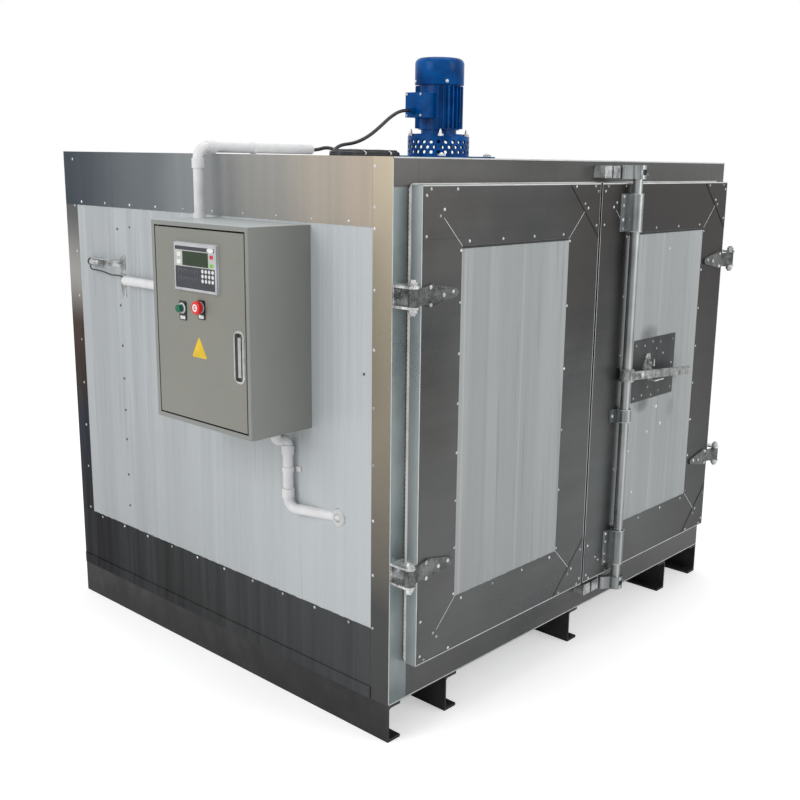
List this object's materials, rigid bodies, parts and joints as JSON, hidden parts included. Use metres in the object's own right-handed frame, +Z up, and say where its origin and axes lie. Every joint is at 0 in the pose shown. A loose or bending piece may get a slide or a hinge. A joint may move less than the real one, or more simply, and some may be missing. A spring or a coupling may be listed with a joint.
{
  "type": "powder coating oven",
  "caption": "Insulated box oven on channel feet with hinged front doors, bar lock, side control box, conduits and a roof fan motor.",
  "frame": {"origin": "on the ground under the middle of the insulated cabinet, on the bottom flange of the middle channel", "axes": "+X to the right seen from the front, +Y from the doors to the back wall, +Z up"},
  "size_m": [2.156, 1.7895, 2.071],
  "materials": {
    "galvanised_dark": "dark galvanised sheet, satin",
    "panel_white": "off-white coated sandwich panel",
    "door_panel": "light grey coated panel",
    "foot_black": "black painted rolled steel",
    "zinc": "zinc plated",
    "zinc_dark": "dull zinc plated",
    "seal_white": "braided white rope",
    "box_grey": "pebble grey powder coat",
    "chrome": "polished",
    "display": "dark grey front with silver bezel",
    "red_plastic": "red",
    "black_plastic": "black",
    "green_plastic": "green",
    "conduit_white": "white PVC",
    "motor_blue": "deep blue enamel",
    "cable_black": "black sheath"
  },
  "bodies": {
    "oven": {"foot_channel_1": "foot_black", "foot_channel_2": "foot_black", "foot_channel_3": "foot_black", "foot_channel_4": "foot_black", "foot_channel_5": "foot_black", "floor_panel": "galvanised_dark", "roof_panel": "galvanised_dark", "left_wall": "panel_white", "right_wall": "panel_white", "back_wall": "panel_white", "front_frame": "galvanised_dark", "corner_posts": "galvanised_dark", "top_band": "galvanised_dark", "bottom_band": "galvanised_dark", "door_seal": "seal_white", "hinge_brackets": "zinc", "keepers": "zinc", "control_box": "box_grey", "upper_conduit": "conduit_white", "lower_conduit": "conduit_white", "probe_conduit": "conduit_white", "probe_bracket": "zinc", "probe": "black_plastic", "motor_stand": "motor_blue", "motor": "motor_blue", "fan_cowl": "motor_blue", "motor_cable": "cable_black", "cable_coil": "cable_black", "probe_lead": "cable_black"},
    "left_door": {"left_door_sheet": "galvanised_dark", "left_door_core": "door_panel", "left_door_straps": "zinc_dark"},
    "right_door": {"right_door_sheet": "galvanised_dark", "right_door_core": "door_panel", "right_door_straps": "zinc_dark", "rod_bearings": "zinc", "lock_back_plate": "galvanised_dark", "handle_catch": "zinc"},
    "lock_gear": {"lock_rod": "zinc", "lock_handle": "zinc"},
    "box_door": {"control_box_door": "box_grey", "pull_handle": "chrome", "display_panel": "display", "stop_legend": "black_plastic"},
    "stop_head": {"stop_button": "red_plastic"},
    "selector": {"selector_knob": "green_plastic"}
  },
  "joints": [
    {"name": "left_door_swing", "type": "hinge", "parent": "oven", "child": "left_door", "pos_m": [-0.932, -0.902, 0.9], "axis": [0, 0, -1], "range_deg": [0, 170]},
    {"name": "right_door_swing", "type": "hinge", "parent": "oven", "child": "right_door", "pos_m": [0.932, -0.902, 0.9], "axis": [0, 0, 1], "range_deg": [0, 170]},
    {"name": "lock_rod_turn", "type": "hinge", "parent": "right_door", "child": "lock_gear", "pos_m": [0.172, -0.917, 0.98], "axis": [0, 0, -1], "range_deg": [0, 90]},
    {"name": "box_door_swing", "type": "hinge", "parent": "oven", "child": "box_door", "pos_m": [-1.172, -0.075, 1.22], "axis": [0, 0, -1], "range_deg": [0, 110]},
    {"name": "stop_press", "type": "slide", "parent": "box_door", "child": "stop_head", "axis": [1, 0, 0], "range_m": [0, 0.004]},
    {"name": "selector_turn", "type": "hinge", "parent": "box_door", "child": "selector", "pos_m": [-1.188, -0.2, 1.27], "axis": [-1, 0, 0], "range_deg": [0, 90]}
  ]
}
